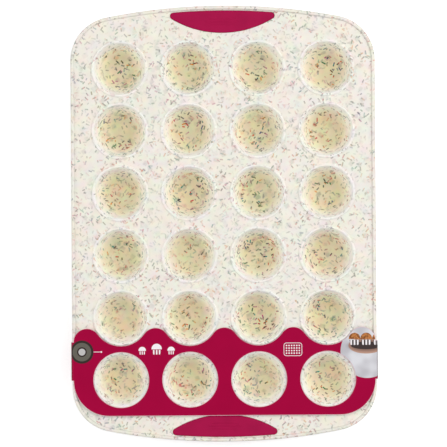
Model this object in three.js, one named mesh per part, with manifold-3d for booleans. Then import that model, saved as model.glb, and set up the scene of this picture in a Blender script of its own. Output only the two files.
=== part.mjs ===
// A mini muffin pan: a moulded silicone tray of small cups in a flat deck, a steel wire ring inside its
// rim, a coloured grip insert through the deck at each end, and a card sleeve round the front end.
// Millimetres, +Z up. The short side runs along X and the long side along Y, with the sleeve at the -Y end.
// The origin is on the table, under the middle of the tray.
import * as THREE from "three";
import { mergeVertices } from "three/addons/utils/BufferGeometryUtils.js";
import Module from "manifold-3d";

const wasm = await Module();
wasm.setup();

// Cups
const cupColumns = 4;
const cupRows = 6;
const cupMouthRadius = 23;
const cupFloorRadius = 15.6; // where the wall's line meets the floor
const cupDepth = 20; // from the deck's top
const cupBowlRadius = 16; // of the curve between wall and floor, inside
const cupBowlSteps = 2; // straight steps in that curve
const cupWall = 1.5;
const cupGapX = 16; // between the mouths of two cups in a row
const cupGapY = 10; // between the mouths of two rows
const lipWidth = 2.7; // of the raised ring round each mouth
const lipHeight = 1.2;
const lipBevel = 0.8; // on both edges of the raised ring
const cupSides = 16;

// Deck and rim
const deckThickness = 2;
const sideMargin = 21; // from the outer mouths to the tray's sides
const endMargin = 33.2; // from the outer mouths to the middle of the tray's ends
const cornerRadius = 40;
const endArcRadius = 555;
const rimRise = 1.6; // above the deck
const rimDrop = 2.4; // below the deck
const rimSides = 10;
const outlineSteps = 6; // straight steps in each arc of the tray's outline

// Steel wire in the rim, and the holes left by the pins that held it in the mould
const wireRadius = 1;
const wireCover = 0.7; // silicone beside the wire's channel
const wireSides = 8;
const pinHoleRadius = 1;
const pinHoleSides = 8;

// Grip inserts
const gripDepth = 20; // across the middle
const gripInnerRadius = 88; // of the edge that faces the cups
const gripTipRadius = 3;
const gripTipLeast = 0.2; // where a tip is drawn in past its own radius
const gripFromRim = 0.35;
const gripProud = 0.4; // above and below the flange
const gripPlate = 1; // depth of the rebates that take the insert's two plates
const gripHold = 2.5; // width of the flange held between the plates
const gripSteps = 8; // straight steps in each arc of a grip's outline
const flangeThickness = 4;
const flangeMargin = 2.5; // of thick flange round a grip

// Card sleeve
const cardThickness = 0.6;
const cardHoleMargin = 2.2; // from a cup's mouth to the card
const cardFrontMargin = 7.3; // from the holes to the front edge
const cardSideInset = 2.1; // of the face panel from the tray's side
const cardCornerRadius = 32;
const cardCrownRadius = 12.5; // of the tongues between two cups
const cardEndRadius = 12.3; // of the tongues beside the outer cups
const cardBandLength = 34; // of the part that wraps round the tray
const cardFootMargin = 4; // from the outer cups' feet to the lower folds
const cardSeamWidth = 16; // where the band's two ends are glued
const cardSteps = 8; // straight steps in each arc of the card's outline
const cardHoleSides = 24;

const fitGap = 0.3; // between pieces that seat in each other
const overrun = 1; // by which a cut runs past the face it opens
const samePoint = 0.001; // points nearer than this are one

// Places worked out from the sizes
const cupPitchX = 2 * cupMouthRadius + cupGapX;
const cupPitchY = 2 * cupMouthRadius + cupGapY;
const trayWidth = (cupColumns - 1) * cupPitchX + 2 * (cupMouthRadius + sideMargin);
const trayLength = (cupRows - 1) * cupPitchY + 2 * (cupMouthRadius + endMargin);
const cupXs = Array.from({ length: cupColumns }, (_, i) => (i - (cupColumns - 1) / 2) * cupPitchX);
const cupYs = Array.from({ length: cupRows }, (_, i) => (i - (cupRows - 1) / 2) * cupPitchY);
const lastCupX = cupXs[cupColumns - 1];
const footZ = cardThickness + fitGap;
const floorZ = footZ + cupWall;
const deckTopZ = floorZ + cupDepth;
const deckBottomZ = deckTopZ - deckThickness;
const flangeBottomZ = deckTopZ - flangeThickness;
const rimTopZ = deckTopZ + rimRise;
const rimBottomZ = deckBottomZ - rimDrop;
const wireZ = (rimTopZ + rimBottomZ) / 2;
const channelRadius = wireRadius + fitGap;
const rimWidth = 2 * (channelRadius + wireCover);
const endArcY = trayLength / 2 - endArcRadius;

function solidOf(geometry) {
  const bare = geometry.index ? geometry.toNonIndexed() : geometry.clone();
  for (const name of Object.keys(bare.attributes)) {
    if (name !== "position") bare.deleteAttribute(name);
  }
  const merged = mergeVertices(bare);
  const mesh = new wasm.Mesh({
    numProp: 3,
    vertProperties: merged.attributes.position.array,
    triVerts: new Uint32Array(merged.index.array),
  });
  return new wasm.Manifold(mesh);
}

function geometryOf(solid) {
  const mesh = solid.getMesh();
  const geometry = new THREE.BufferGeometry();
  geometry.setAttribute("position", new THREE.BufferAttribute(mesh.vertProperties, 3));
  geometry.setIndex(new THREE.BufferAttribute(mesh.triVerts, 1));
  return geometry;
}

// The points of a path made of arcs, each in equal steps, without those that repeat at the joins.
function pointsOf(path, steps) {
  const points = path.getPoints(steps / 2);
  return points.filter((p, i) => p.distanceTo(points[(i + 1) % points.length]) > samePoint);
}

// A flat plate: a closed outline in plan, from one height to another.
function plate(outline, bottom, top, holes = []) {
  const shape = new THREE.Shape(outline);
  shape.holes = holes.map((hole) => new THREE.Path(hole));
  const geometry = new THREE.ExtrudeGeometry(shape, { depth: top - bottom, bevelEnabled: false });
  return solidOf(geometry.translate(0, 0, bottom));
}

function lathe(profile) {
  const points = profile.map(([radius, height]) => new THREE.Vector2(radius, height));
  return solidOf(new THREE.LatheGeometry(points, cupSides).rotateX(Math.PI / 2));
}

// The tray's outline, drawn in by an inset: straight sides, round corners and shallow arcs at the ends.
function trayOutline(inset) {
  const cornerX = trayWidth / 2 - cornerRadius;
  const rise = Math.sqrt((endArcRadius - cornerRadius) ** 2 - cornerX ** 2);
  const turn = Math.atan2(rise, cornerX);
  const path = new THREE.Path();
  path.absarc(cornerX, endArcY + rise, cornerRadius - inset, 0, turn);
  path.absarc(0, endArcY, endArcRadius - inset, turn, Math.PI - turn);
  path.absarc(-cornerX, endArcY + rise, cornerRadius - inset, Math.PI - turn, Math.PI);
  const rear = pointsOf(path, outlineSteps);
  return [...rear, ...rear.map((p) => p.clone().negate())];
}

// A closed bead that follows the tray's outline round the wire's line, with an oval section.
function bead(halfWidth, halfHeight, sides) {
  const rows = Array.from({ length: sides }, (_, i) => {
    const angle = (2 * Math.PI * i) / sides;
    const outline = trayOutline(rimWidth / 2 - halfWidth * Math.cos(angle));
    return outline.map((p) => [p.x, p.y, wireZ + halfHeight * Math.sin(angle)]);
  });
  const around = rows[0].length;
  const index = [];
  for (let i = 0; i < sides; i++) {
    const next = (i + 1) % sides;
    for (let j = 0; j < around; j++) {
      const after = (j + 1) % around;
      const [a, b] = [i * around + j, i * around + after];
      const [c, d] = [next * around + after, next * around + j];
      index.push(a, b, c, a, c, d);
    }
  }
  const geometry = new THREE.BufferGeometry();
  geometry.setAttribute("position", new THREE.Float32BufferAttribute(rows.flat(2), 3));
  geometry.setIndex(index);
  return geometry;
}

// Cups, made on the Z axis: the inner wall's radius at a height, the space inside and the whole outside.
function wallRadius(height) {
  return cupFloorRadius + ((cupMouthRadius - cupFloorRadius) * (height - floorZ)) / cupDepth;
}

const wallTurn = Math.atan2(cupDepth, cupMouthRadius - cupFloorRadius);
const wallAcross = cupWall / Math.sin(wallTurn);
const lipTopZ = deckTopZ + lipHeight;

// The curve from the flat floor up to the wall, from its middle.
function bowl(radius) {
  const middle = cupFloorRadius - cupBowlRadius * Math.tan(wallTurn / 2);
  return Array.from({ length: cupBowlSteps + 1 }, (_, i) => {
    const turn = (wallTurn * i) / cupBowlSteps;
    return [middle + radius * Math.sin(turn), floorZ + cupBowlRadius - radius * Math.cos(turn)];
  });
}

const cupSpace = lathe([
  [0, floorZ],
  ...bowl(cupBowlRadius),
  [cupMouthRadius, deckTopZ],
  [cupMouthRadius + lipBevel, lipTopZ],
  [cupMouthRadius + lipBevel, lipTopZ + overrun],
  [0, lipTopZ + overrun],
]);

const cupOutside = lathe([
  [0, footZ],
  ...bowl(cupBowlRadius + cupWall),
  [wallRadius(deckBottomZ) + wallAcross, deckBottomZ],
  [cupMouthRadius + lipWidth, deckTopZ],
  [cupMouthRadius + lipWidth - lipBevel, lipTopZ],
  [0, lipTopZ],
]);

// A grip's outline, drawn in by an inset: a shallow outer arc, a rounder inner arc and small tips. The end
// is 1 at the rear and -1 at the front.
function gripOutline(end, inset) {
  const edgeInset = rimWidth + gripFromRim;
  const outer = endArcRadius - edgeInset - inset;
  const inner = gripInnerRadius - inset;
  const tip = Math.max(gripTipRadius - inset, gripTipLeast);
  const innerY = trayLength / 2 - edgeInset - gripDepth + gripInnerRadius;
  const apart = innerY - endArcY;
  const rise = (apart ** 2 + (outer - tip) ** 2 - (inner - tip) ** 2) / (2 * apart);
  const tipX = Math.sqrt((outer - tip) ** 2 - rise ** 2);
  const tipY = endArcY + rise;
  const outerTurn = Math.atan2(rise, tipX);
  const innerTurn = Math.atan2(tipY - innerY, tipX);
  const path = new THREE.Path();
  path.absarc(0, endArcY, outer, outerTurn, Math.PI - outerTurn);
  path.absarc(-tipX, tipY, tip, Math.PI - outerTurn, Math.PI - innerTurn);
  path.absarc(0, innerY, inner, Math.PI - innerTurn, 2 * Math.PI + innerTurn);
  path.absarc(tipX, tipY, tip, innerTurn, outerTurn);
  return pointsOf(path, gripSteps).map((p) => p.multiplyScalar(end));
}

// The insert's groove holds the edge of the flange: a plate above, a plate below and a core between them.
function gripInsert(end) {
  const top = plate(gripOutline(end, 0), deckTopZ - gripPlate + fitGap, deckTopZ + gripProud);
  const bottom = plate(gripOutline(end, 0), flangeBottomZ - gripProud, flangeBottomZ + gripPlate - fitGap);
  const core = plate(gripOutline(end, gripHold + fitGap), flangeBottomZ, deckTopZ);
  return geometryOf(core.add(top).add(bottom));
}

// The middles of the holes left by the mould's pins, on the wire's line
function pinPlaces() {
  const sideX = (trayWidth - rimWidth) / 2;
  const sideY = (cupYs[cupRows - 1] + cupYs[cupRows - 2]) / 2;
  const endX = (lastCupX + cupXs[cupColumns - 2]) / 2;
  const endY = endArcY + Math.sqrt((endArcRadius - rimWidth / 2) ** 2 - endX ** 2);
  const quarter = [
    [sideX, 0],
    [sideX, sideY],
    [endX, endY],
    [-endX, endY],
    [-sideX, sideY],
  ];
  return [...quarter, ...quarter.map(([x, y]) => [-x, -y])];
}

function siliconeTray() {
  let tray = plate(trayOutline(rimWidth / 2), deckBottomZ, deckTopZ);
  tray = tray.add(solidOf(bead(rimWidth / 2, (rimTopZ - rimBottomZ) / 2, rimSides)));
  for (const end of [1, -1]) {
    tray = tray.add(plate(gripOutline(end, -flangeMargin), flangeBottomZ, deckTopZ));
    tray = tray.subtract(plate(gripOutline(end, gripHold), flangeBottomZ - overrun, deckTopZ + overrun));
    const rebate = gripOutline(end, -fitGap);
    tray = tray.subtract(plate(rebate, deckTopZ - gripPlate, deckTopZ + overrun));
    tray = tray.subtract(plate(rebate, flangeBottomZ - overrun, flangeBottomZ + gripPlate));
  }
  for (const y of cupYs) {
    for (const x of cupXs) {
      tray = tray.add(cupOutside.translate([x, y, 0])).subtract(cupSpace.translate([x, y, 0]));
    }
  }
  tray = tray.subtract(solidOf(bead(channelRadius, channelRadius, wireSides)));
  const pinHoleLength = wireZ - rimBottomZ + overrun;
  for (const [x, y] of pinPlaces()) {
    const pin = new THREE.CylinderGeometry(pinHoleRadius, pinHoleRadius, pinHoleLength, pinHoleSides);
    pin.rotateX(Math.PI / 2).translate(x, y, wireZ - pinHoleLength / 2);
    tray = tray.subtract(solidOf(pin));
  }
  return geometryOf(tray);
}

// Card sleeve: a face panel on the rim, and a band that goes down both sides and under the front cups
const cardBottomZ = rimTopZ + fitGap;
const cardTopZ = cardBottomZ + cardThickness;
const cardHoleRadius = cupMouthRadius + cardHoleMargin;
const cardHalfWidth = trayWidth / 2 - cardSideInset;
const cardEndX = cardHalfWidth - cardEndRadius;
const cardEndDrop = Math.sqrt((cardHoleRadius + cardEndRadius) ** 2 - (cardEndX - lastCupX) ** 2);
const cardBandRearY = cupYs[1] - cardEndDrop;

// The face panel's outline: tongues that rise between the cups of the second row, and a straight front.
function cardOutline() {
  const crownDrop = Math.sqrt((cardHoleRadius + cardCrownRadius) ** 2 - (cupPitchX / 2) ** 2);
  const crownTurn = Math.atan2(crownDrop, cupPitchX / 2);
  const endTurn = Math.atan2(cardEndDrop, cardEndX - lastCupX);
  const frontY = cupYs[0] - cardHoleRadius - cardFrontMargin;
  const cornerX = cardHalfWidth - cardCornerRadius;
  const path = new THREE.Path();
  path.absarc(cardEndX, cardBandRearY, cardEndRadius, 0, Math.PI - endTurn);
  for (let i = cupColumns - 1; i >= 0; i--) {
    const startTurn = i === cupColumns - 1 ? endTurn : crownTurn;
    const stopTurn = i === 0 ? endTurn : crownTurn;
    path.absarc(cupXs[i], cupYs[1], cardHoleRadius, -startTurn, stopTurn - Math.PI, true);
    if (i > 0) {
      const crownX = cupXs[i] - cupPitchX / 2;
      path.absarc(crownX, cupYs[1] - crownDrop, cardCrownRadius, crownTurn, Math.PI - crownTurn);
    }
  }
  path.absarc(-cardEndX, cardBandRearY, cardEndRadius, endTurn, Math.PI);
  path.absarc(-cornerX, frontY + cardCornerRadius, cardCornerRadius, Math.PI, 1.5 * Math.PI);
  path.absarc(cornerX, frontY + cardCornerRadius, cardCornerRadius, 1.5 * Math.PI, 2 * Math.PI);
  return pointsOf(path, cardSteps);
}

function circle(x, y, radius, steps) {
  const path = new THREE.Path();
  path.absarc(x, y, radius, 0, 2 * Math.PI);
  return pointsOf(path, steps);
}

// The outline of a bent strip of card, from the line through its middle.
function stripOutline(line, thickness) {
  const ways = line.slice(1).map((p, i) => p.clone().sub(line[i]).normalize());
  const shift = (i, side) => {
    const before = ways[Math.max(i - 1, 0)];
    const after = ways[Math.min(i, ways.length - 1)];
    const across = new THREE.Vector2(-before.y - after.y, before.x + after.x);
    return line[i].clone().addScaledVector(across, (side * thickness) / 2 / (1 + before.dot(after)));
  };
  const left = line.map((_, i) => shift(i, 1));
  const right = line.map((_, i) => shift(i, -1));
  return [...left, ...right.reverse()];
}

function cardSleeve() {
  const holes = cupXs.map((x) => circle(x, cupYs[0], cardHoleRadius, cardHoleSides));
  const face = plate(cardOutline(), cardBottomZ, cardTopZ, holes);
  const topZ = (cardBottomZ + cardTopZ) / 2;
  const sideX = trayWidth / 2 + fitGap + cardThickness / 2;
  const footX = lastCupX + cupFloorRadius + cupWall + cardFootMargin;
  const half = [
    new THREE.Vector2(cardEndX, topZ),
    new THREE.Vector2(sideX, topZ),
    new THREE.Vector2(sideX, rimBottomZ),
    new THREE.Vector2(footX, cardThickness / 2),
  ];
  const line = [...half, ...half.map((p) => new THREE.Vector2(-p.x, p.y)).reverse()];
  const strip = new THREE.Shape(stripOutline(line, cardThickness));
  const band = new THREE.ExtrudeGeometry(strip, { depth: cardBandLength, bevelEnabled: false });
  band.rotateX(Math.PI / 2).translate(0, cardBandRearY, 0);
  const seam = new THREE.BoxGeometry(cardSeamWidth, cardBandLength, cardThickness * 2);
  seam.translate(0, cardBandRearY - cardBandLength / 2, cardThickness);
  return geometryOf(face.add(solidOf(band)).add(solidOf(seam)));
}

const silicone = { color: 0xf0ebdc, roughness: 0.6, metalness: 0 };
const gripSilicone = { color: 0xad1d4d, roughness: 0.55, metalness: 0 };
const steel = { color: 0xb4b6b8, roughness: 0.3, metalness: 1 };
const printedCard = { color: 0xa2053c, roughness: 0.45, metalness: 0 };

const pieces = [
  ["silicone_tray", siliconeTray(), silicone],
  ["steel_rim_frame", bead(wireRadius, wireRadius, wireSides), steel],
  ["grip_insert_rear", gripInsert(1), gripSilicone],
  ["grip_insert_front", gripInsert(-1), gripSilicone],
  ["card_sleeve", cardSleeve(), printedCard],
];

const pan = new THREE.Group();
for (const [name, geometry, finish] of pieces) {
  const mesh = new THREE.Mesh(geometry, new THREE.MeshStandardMaterial(finish));
  mesh.name = name;
  pan.add(mesh);
}

export default pan;
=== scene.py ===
"""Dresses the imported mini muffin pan: speckled silicone tray, rim wire, grip inserts, card sleeve and stage.

Metres, +Z up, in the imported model's own frame. The sleeve is at the -Y end, nearest the viewer.
"""

import math
from collections import namedtuple

import bmesh
import bpy
from mathutils import Matrix, Vector


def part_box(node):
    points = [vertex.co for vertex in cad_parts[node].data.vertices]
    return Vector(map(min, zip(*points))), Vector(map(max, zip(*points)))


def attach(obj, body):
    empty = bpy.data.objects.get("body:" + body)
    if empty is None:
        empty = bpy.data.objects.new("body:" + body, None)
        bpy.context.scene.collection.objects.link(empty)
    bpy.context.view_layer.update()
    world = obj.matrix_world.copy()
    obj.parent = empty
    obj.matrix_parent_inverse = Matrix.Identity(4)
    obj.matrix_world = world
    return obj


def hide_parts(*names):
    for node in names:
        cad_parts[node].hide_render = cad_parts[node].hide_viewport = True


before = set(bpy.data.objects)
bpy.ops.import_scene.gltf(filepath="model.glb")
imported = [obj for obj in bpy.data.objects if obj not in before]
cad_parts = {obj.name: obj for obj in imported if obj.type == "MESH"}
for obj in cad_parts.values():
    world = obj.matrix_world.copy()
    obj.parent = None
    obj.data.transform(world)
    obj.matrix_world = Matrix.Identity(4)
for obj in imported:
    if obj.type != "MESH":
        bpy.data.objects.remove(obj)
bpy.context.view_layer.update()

bl_info = {
    "name": "Mini Muffin Pan",
    "version": (1, 0, 0),
    "blender": (4, 5, 0),
    "location": "3D View > Sidebar > Muffin Pan",
    "description": "Makes the looks of a silicone mini muffin pan in its card sleeve",
    "category": "Object",
}

MM = 0.001
FULL_TURN = 2 * math.pi
HALF_TURN = math.pi
QUARTER_TURN = math.pi / 2
UP = Vector((0, 0, 1))
STAY = Vector((0, 0, 0))
TOUCH = 0.002 * MM  # points nearer than this are one
ROUND_STEPS = 5  # in each rounded corner of a section
STEP_REACH = 2 * MM  # a rounded corner has one more step for each such length of it
CUP_STEPS = 64
CUP_BACK_STEPS = 48
ARC_STEPS = 14  # in each arc of an outline
FOLD_STEPS = 6
HOLE_STEPS = 80
SHARP_TURN = math.radians(38)  # an edge that turns more than this shows as an edge
RIM_MEETING = 0.01 * MM  # flat part of the deck modelled with the rim
RIB_TAPER_SHARE = 0.2  # by which a grip's outer ribs are shorter than its middle one
RIB_TOP_SHARE = 0.6  # of a rib's width that lies between its two upper corners
RING_MARK = 0.5  # of the raised rings' points, where the mark of the thin walls is 1; the rings get this share of the walls' painted light
BOTH_ENDS = (Matrix(), Matrix.Rotation(HALF_TURN, 4, "Z"))
CUT_EDGE = 2  # place of the cut edge's material on the sleeve
FLOOR_GAP = 0.05 * MM
WHITE = (1, 1, 1)
SILICONE_IOR = 1.41
MIX_FIRST, MIX_SECOND, MIX_RESULT = 6, 7, 2  # places of the colour sockets on a Mix node

# Roughness of each finish, from its smoothest spots to its roughest
SILICONE_ROUGHNESS = (0.46, 0.58)
STEEL_ROUGHNESS = (0.24, 0.49)
GRIP_ROUGHNESS = (0.43, 0.57)
PRINT_ROUGHNESS = (0.25, 0.35)

# Levels of the noise between which each pattern turns from its first tone to its second
CROWD_LEVELS = (0.4, 0.6)
STEEL_LEVELS = (0.3, 0.8)
GRIP_LEVELS = (0.35, 0.8)
BOARD_LEVELS = (0.35, 0.7)
PRINT_LEVELS = (0.3, 0.8)
PAPER_LEVELS = (0.35, 0.65)
CRUMB_LEVELS = (0.42, 0.62)

# How far a face's normal points one way where a painted shade starts, and where it is full
STEEP_LEVELS = (0.95, 0.4)  # upwards, on the rim's sides
TURNED_LEVELS = (0.3, 0.95)  # sideways, where the card turns down and takes a painted shade

# A printed muffin: shares of half its width, how fast its cup narrows, and its pleats
DOME_LIFT_SHARE = 0.1
CUP_HALF_SHARE = 0.9
CUP_DROP_SHARE = 0.12
CUP_SLOPE = 0.25
PLEATS = 3.5
PLEAT_SOFTNESS = 0.2
MUFFIN_TAPER_SHARE = 0.28  # by which the two outer white muffins are smaller

# The other printed pictures. A flatness is how many times wider than high an oval is.
DOT_SHARE = 0.3  # radius of a cup's dot, of the pitch between two cups
SECTION_SHARES = (1, 0.8, 0.42, 0.3)  # radii of the rim's edge, the rim, the wire's edge and the wire
KNOB_LINES = 3  # radius of the pointer's end, in halves of a thin line's width
PLATE_DROP_SHARE = 1.1  # of the plate below the muffins' middle, of half a muffin's width
PLATE_FLATNESS = 4
BOARD_FLATNESS = 2.2
BOARD_SHARE = 1.15  # half the board's width, of half the plate's
SHADOW_FLATNESS = 3
SHADOW_BLUR_SHARE = 0.3  # of half the plate's width
SHADOW_STRENGTH = 0.5

# The tones of the fibres, as display values
FIBRE_TONES = (
    (54, 42, 34),
    (206, 88, 44),
    (84, 60, 44),
    (214, 138, 44),
    (104, 98, 44),
    (40, 60, 46),
    (34, 116, 66),
    (50, 50, 54),
    (22, 134, 124),
    (52, 62, 116),
    (66, 62, 58),
    (178, 76, 124),
    (58, 44, 36),
    (192, 46, 62),
)

# Each makes another random number of one of a cell's three: for the bend, the length and the tone
CELL_DRAWS = (13.7, 17.3, 23.9)
LENGTH_SHARES = (0.5, 1)  # of a fibre's full length, from the shortest to the longest
TONE_SPREAD_SHARE = 0.5  # of the tones that are found in one place

# Each layer of fibres: how far its cells are moved in metres, the scale of its cells, the width of its
# fibres as a multiple of a sharp one's, and how strongly it shows
FIBRE_LAYERS = (
    ((0.53, 0.29, 0.61), 1.25, 3.4, 0.36),
    ((0.71, 0.53, 0.11), 0.76, 1.0, 0.65),
    ((0, 0, 0), 1.0, 1.0, 1.0),
    ((0.31, 0.17, 0.43), 0.93, 1.0, 1.0),
)

tray_low, tray_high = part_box("silicone_tray")
sleeve_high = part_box("card_sleeve")[1]


# Properties


def linear(*display):
    """The linear colour of three display values from 0 to 255, by the standard curve of displays."""
    shares = [value / 255 for value in display]
    return [v / 12.92 if v <= 0.04045 else ((v + 0.055) / 1.055) ** 2.4 for v in shares]


def size(name, description, millimetres):
    return bpy.props.FloatProperty(
        name=name,
        description=description,
        default=millimetres * MM,
        min=0.0,
        precision=4,
        unit="LENGTH",
        subtype="DISTANCE",
    )


def angle(name, description, degrees):
    return bpy.props.FloatProperty(
        name=name,
        description=description,
        default=math.radians(degrees),
        unit="ROTATION",
        subtype="ANGLE",
    )


def share(name, description, default):
    return bpy.props.FloatProperty(
        name=name, description=description, default=default, min=0.0, max=1.0, subtype="FACTOR"
    )


def strength(name, description, default):
    return bpy.props.FloatProperty(name=name, description=description, default=default, min=0.0)


def count(name, description, default):
    return bpy.props.IntProperty(name=name, description=description, default=default, min=1)


def spot(name, description, x, y):
    """A place in plan, given in millimetres."""
    return bpy.props.FloatVectorProperty(
        name=name, description=description, default=(x * MM, y * MM), size=2, unit="LENGTH"
    )


def colour(name, description, *display):
    return bpy.props.FloatVectorProperty(
        name=name,
        description=description,
        default=linear(*display),
        min=0.0,
        max=1.0,
        size=3,
        subtype="COLOR",
    )


class TraySettings(bpy.types.PropertyGroup):
    """Sizes and colours of the silicone tray."""

    columns: count("Columns", "Cups across the tray", 4)
    rows: count("Rows", "Cups along the tray", 6)
    pitch_x: size("Pitch across", "Between the middles of two cups in a row", 62)
    pitch_y: size("Pitch along", "Between the middles of two rows", 56)
    mouth_radius: size("Mouth radius", "Of a cup at the deck", 23)
    floor_radius: size("Floor radius", "Where a cup's wall meets its floor", 15.6)
    depth: size("Depth", "Of a cup, from the deck", 20)
    bowl_radius: size("Bowl radius", "Of the curve between a cup's wall and floor", 16)
    wall: size("Wall", "Thickness of a cup", 1.5)
    foot: size("Foot height", "Of a cup's underside above the table", tray_low.z / MM)
    lip_width: size("Lip width", "Of the raised ring round a mouth", 2.7)
    lip_height: size("Lip height", "Of the raised ring round a mouth", 1.2)
    lip_bevel: size("Lip bevel", "Width of each sloping side of the raised ring", 0.7)
    lip_round: size("Lip rounding", "Of a mouth's edge, where the raised ring starts", 0.6)
    lip_soft: size("Lip softness", "Of the raised ring's upper edges", 0.3)
    lip_foot: size("Lip foot", "Reach of the hollow curve from the raised ring to the deck", 0.3)
    ring: size("Ring", "Flat part of the deck modelled with each cup", 1.2)
    deck: size("Deck thickness", "Of the flat deck", 2)
    corner_radius: size("Corner radius", "Of the tray's outline", 40)
    end_radius: size("End radius", "Of the shallow arcs at the tray's ends", 555)
    rim_width: size("Rim width", "Of the rounded rim", 4)
    rim_rise: size("Rim rise", "Above the deck", 1.6)
    rim_drop: size("Rim drop", "Below the deck", 2.4)
    rim_crown: size("Rim crown", "From the rim's outer side to where it starts down to the deck", 2.8)
    rim_foot: size("Rim foot", "Reach of the hollow curve from the rim to the deck", 0.5)
    rim_top_round: size("Rim top rounding", "Of the rim's upper outer edge", 1.7)
    rim_crown_round: size("Rim crown rounding", "Of the rim's upper inner edge", 0.8)
    rim_back: size("Rim back", "Flat width of the rim's underside", 3.4)
    rim_round: size("Rim rounding", "Of the rim's lower edges", 2.2)
    flange: size("Flange thickness", "Round the grips", 4)
    flange_margin: size("Flange margin", "Of thick flange round a grip", 2.5)
    colour: colour("Silicone", "Of the cream silicone", 242, 237, 226)
    # Painted light: a paler tone on the cups' walls, and half of it on the raised rings, so that they look
    # brightly lit
    painted_light_wall_colour: colour("Thin silicone", "Of the cups' walls, which let light through", 255, 253, 248)
    # Painted light and painted shade: near the floor the walls stay paler than the deck, but warmer and darker
    # than higher up
    painted_lower_wall_colour: colour("Low silicone", "Of the cups' walls near the floor", 250, 244, 222)
    # Painted shade on the rim's steep sides
    steep_painted_shade: share("Steep shade", "How much darker the rim's steep sides are", 0.14)
    # Painted shade: the cups' floors are painted darker and warmer, for the shade deep in a cup
    painted_shade_floor_colour: colour("Deep silicone", "At the bottom of a cup", 228, 216, 182)
    painted_shade_from: share("Tint from", "Depth in a cup at which the deep colour starts", 0.5)
    painted_shade_full: share("Tint full", "Depth in a cup at which the deep colour is reached", 0.9)
    painted_lower_wall_full: share("Tint low", "Depth in a cup at which the low colour is reached", 0.7)
    grain: size("Grain", "Of the silicone's skin", 0.35)
    swell: size("Swell", "Between the soft waves of the skin", 9)
    relief: size("Relief", "Height of the skin's unevenness", 0.12)
    grain_part: share("Grain part", "Of the relief that the fine grain adds", 0.1)


class FibreSettings(bpy.types.PropertyGroup):
    """The coloured fibres in the silicone."""

    length: size("Length", "Of a fibre", 4.2)
    width: size("Width", "Of a fibre", 1.15)
    spacing: size("Spacing", "Between the middles of two fibres of one layer", 5.5)
    reach: size("Reach", "Depth at which a fibre no longer shows", 1.7)
    fade: size("Fade", "Depth at which a fibre starts to fade", 0.7)
    softness: size("Softness", "Of a fibre's edge", 0.2)
    bend: strength("Bend", "How much a fibre curves", 70)
    shown: share("Shown", "Strength of a fibre's colour on the deck", 0.48)
    shown_deep: share("Shown deep", "Strength of a fibre's colour at the bottom of a cup", 1.0)
    crowd_size: size("Crowd size", "Between the places where the fibres lie closer", 15)
    crowd_low: share("Crowd low", "Share of the strength that is left between such places", 0.4)
    hue_size: size("Hue size", "Between the places where one colour of fibre prevails", 34)
    hue_pull: strength("Hue pull", "How much one colour prevails there", 2.4)
    haze_size: size("Haze size", "Between the faint clouds of dye round the fibres", 9)
    haze: strength("Haze", "Strength of the clouds of dye on the deck", 0.22)
    haze_deep: strength("Haze deep", "Strength of the clouds of dye at the bottom of a cup", 0.34)


class GripSettings(bpy.types.PropertyGroup):
    """Sizes and colours of the two grip inserts."""

    depth: size("Depth", "Of a grip across its middle", 20)
    inner_radius: size("Inner radius", "Of the edge that faces the cups", 88)
    tip_radius: size("Tip radius", "Of the two tips", 3)
    from_rim: size("From rim", "Gap between the rim and a grip", 0.35)
    proud: size("Proud", "Height of a grip above and below the flange", 0.4)
    crown: size("Crown", "Rise of a grip's face within its soft border", 0.2)
    border: size("Border", "Width of the soft border", 2.4)
    edge_round: size("Edge rounding", "Of the faces' outer edges", 0.6)
    plate: size("Plate", "Depth of the rebates in the flange", 1)
    hold: size("Hold", "Width of the flange that the groove holds", 2.5)
    gap: size("Gap", "Between a grip and the flange", 0.3)
    ribs: count("Ribs", "On each face", 3)
    rib_length: size("Rib length", "Of the middle rib", 30)
    rib_width: size("Rib width", "Of a rib", 1.1)
    rib_height: size("Rib height", "Above the face", 0.22)
    rib_pitch: size("Rib pitch", "Between two ribs", 2.6)
    colour: colour("Grip", "Of the dark pink silicone", 171, 19, 74)
    cloud: size("Cloud", "Between the slightly darker parts of the colour", 12)
    cloud_shade: share("Cloud shade", "How much darker those parts are", 0.1)
    grain: size("Grain", "Of the skin", 0.3)
    relief: size("Relief", "Height of the grain", 0.012)


class WireSettings(bpy.types.PropertyGroup):
    """Finish of the steel wire in the rim."""

    mark: size("Mark", "Between the fine marks on the wire", 0.3)
    relief: size("Relief", "Depth of the marks", 0.02)
    colour: colour("Steel", "Of the drawn wire", 190, 191, 192)
    dull_colour: colour("Dull steel", "In the marks", 150, 152, 155)


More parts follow.
